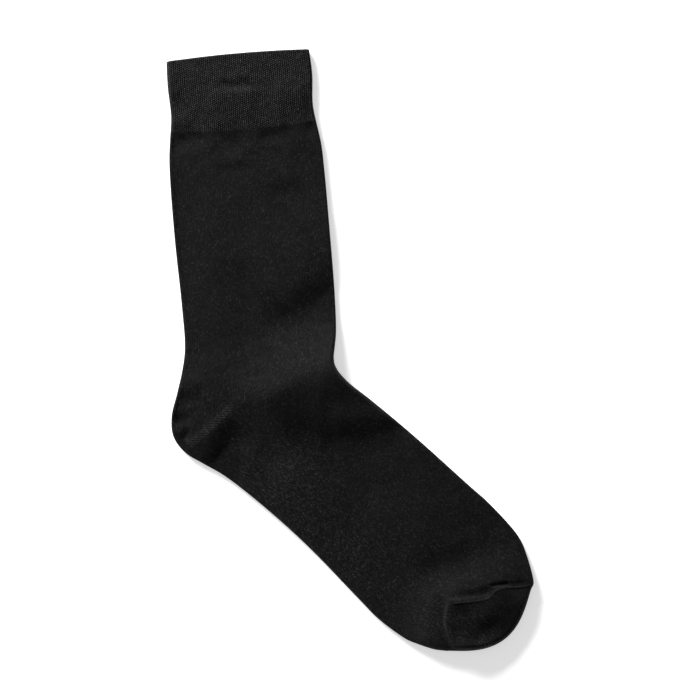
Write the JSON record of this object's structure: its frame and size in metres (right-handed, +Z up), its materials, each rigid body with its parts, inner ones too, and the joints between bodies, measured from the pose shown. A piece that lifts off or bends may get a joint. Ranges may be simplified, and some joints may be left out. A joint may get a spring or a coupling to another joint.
{
  "type": "sock",
  "caption": "Plain knitted crew sock laid flat on its side, with a doubled cuff, a turned heel pocket and a closed toe pocket.",
  "frame": {"origin": "under the middle of the whole sock, on the surface it lies on", "axes": "+Z up out of the surface, +Y up the leg towards the mouth, +X towards the toe"},
  "size_m": [0.2204, 0.3606, 0.0108],
  "materials": {
    "cuff_knit": "matt black cotton knit, tucked into small bumps",
    "plain_knit": "matt black cotton knit, plain stitch"
  },
  "bodies": {
    "root": {"cuff": "cuff_knit", "leg": "plain_knit", "heel": "plain_knit", "foot": "plain_knit", "toe": "plain_knit", "toe_seam": "plain_knit"}
  },
  "joints": []
}
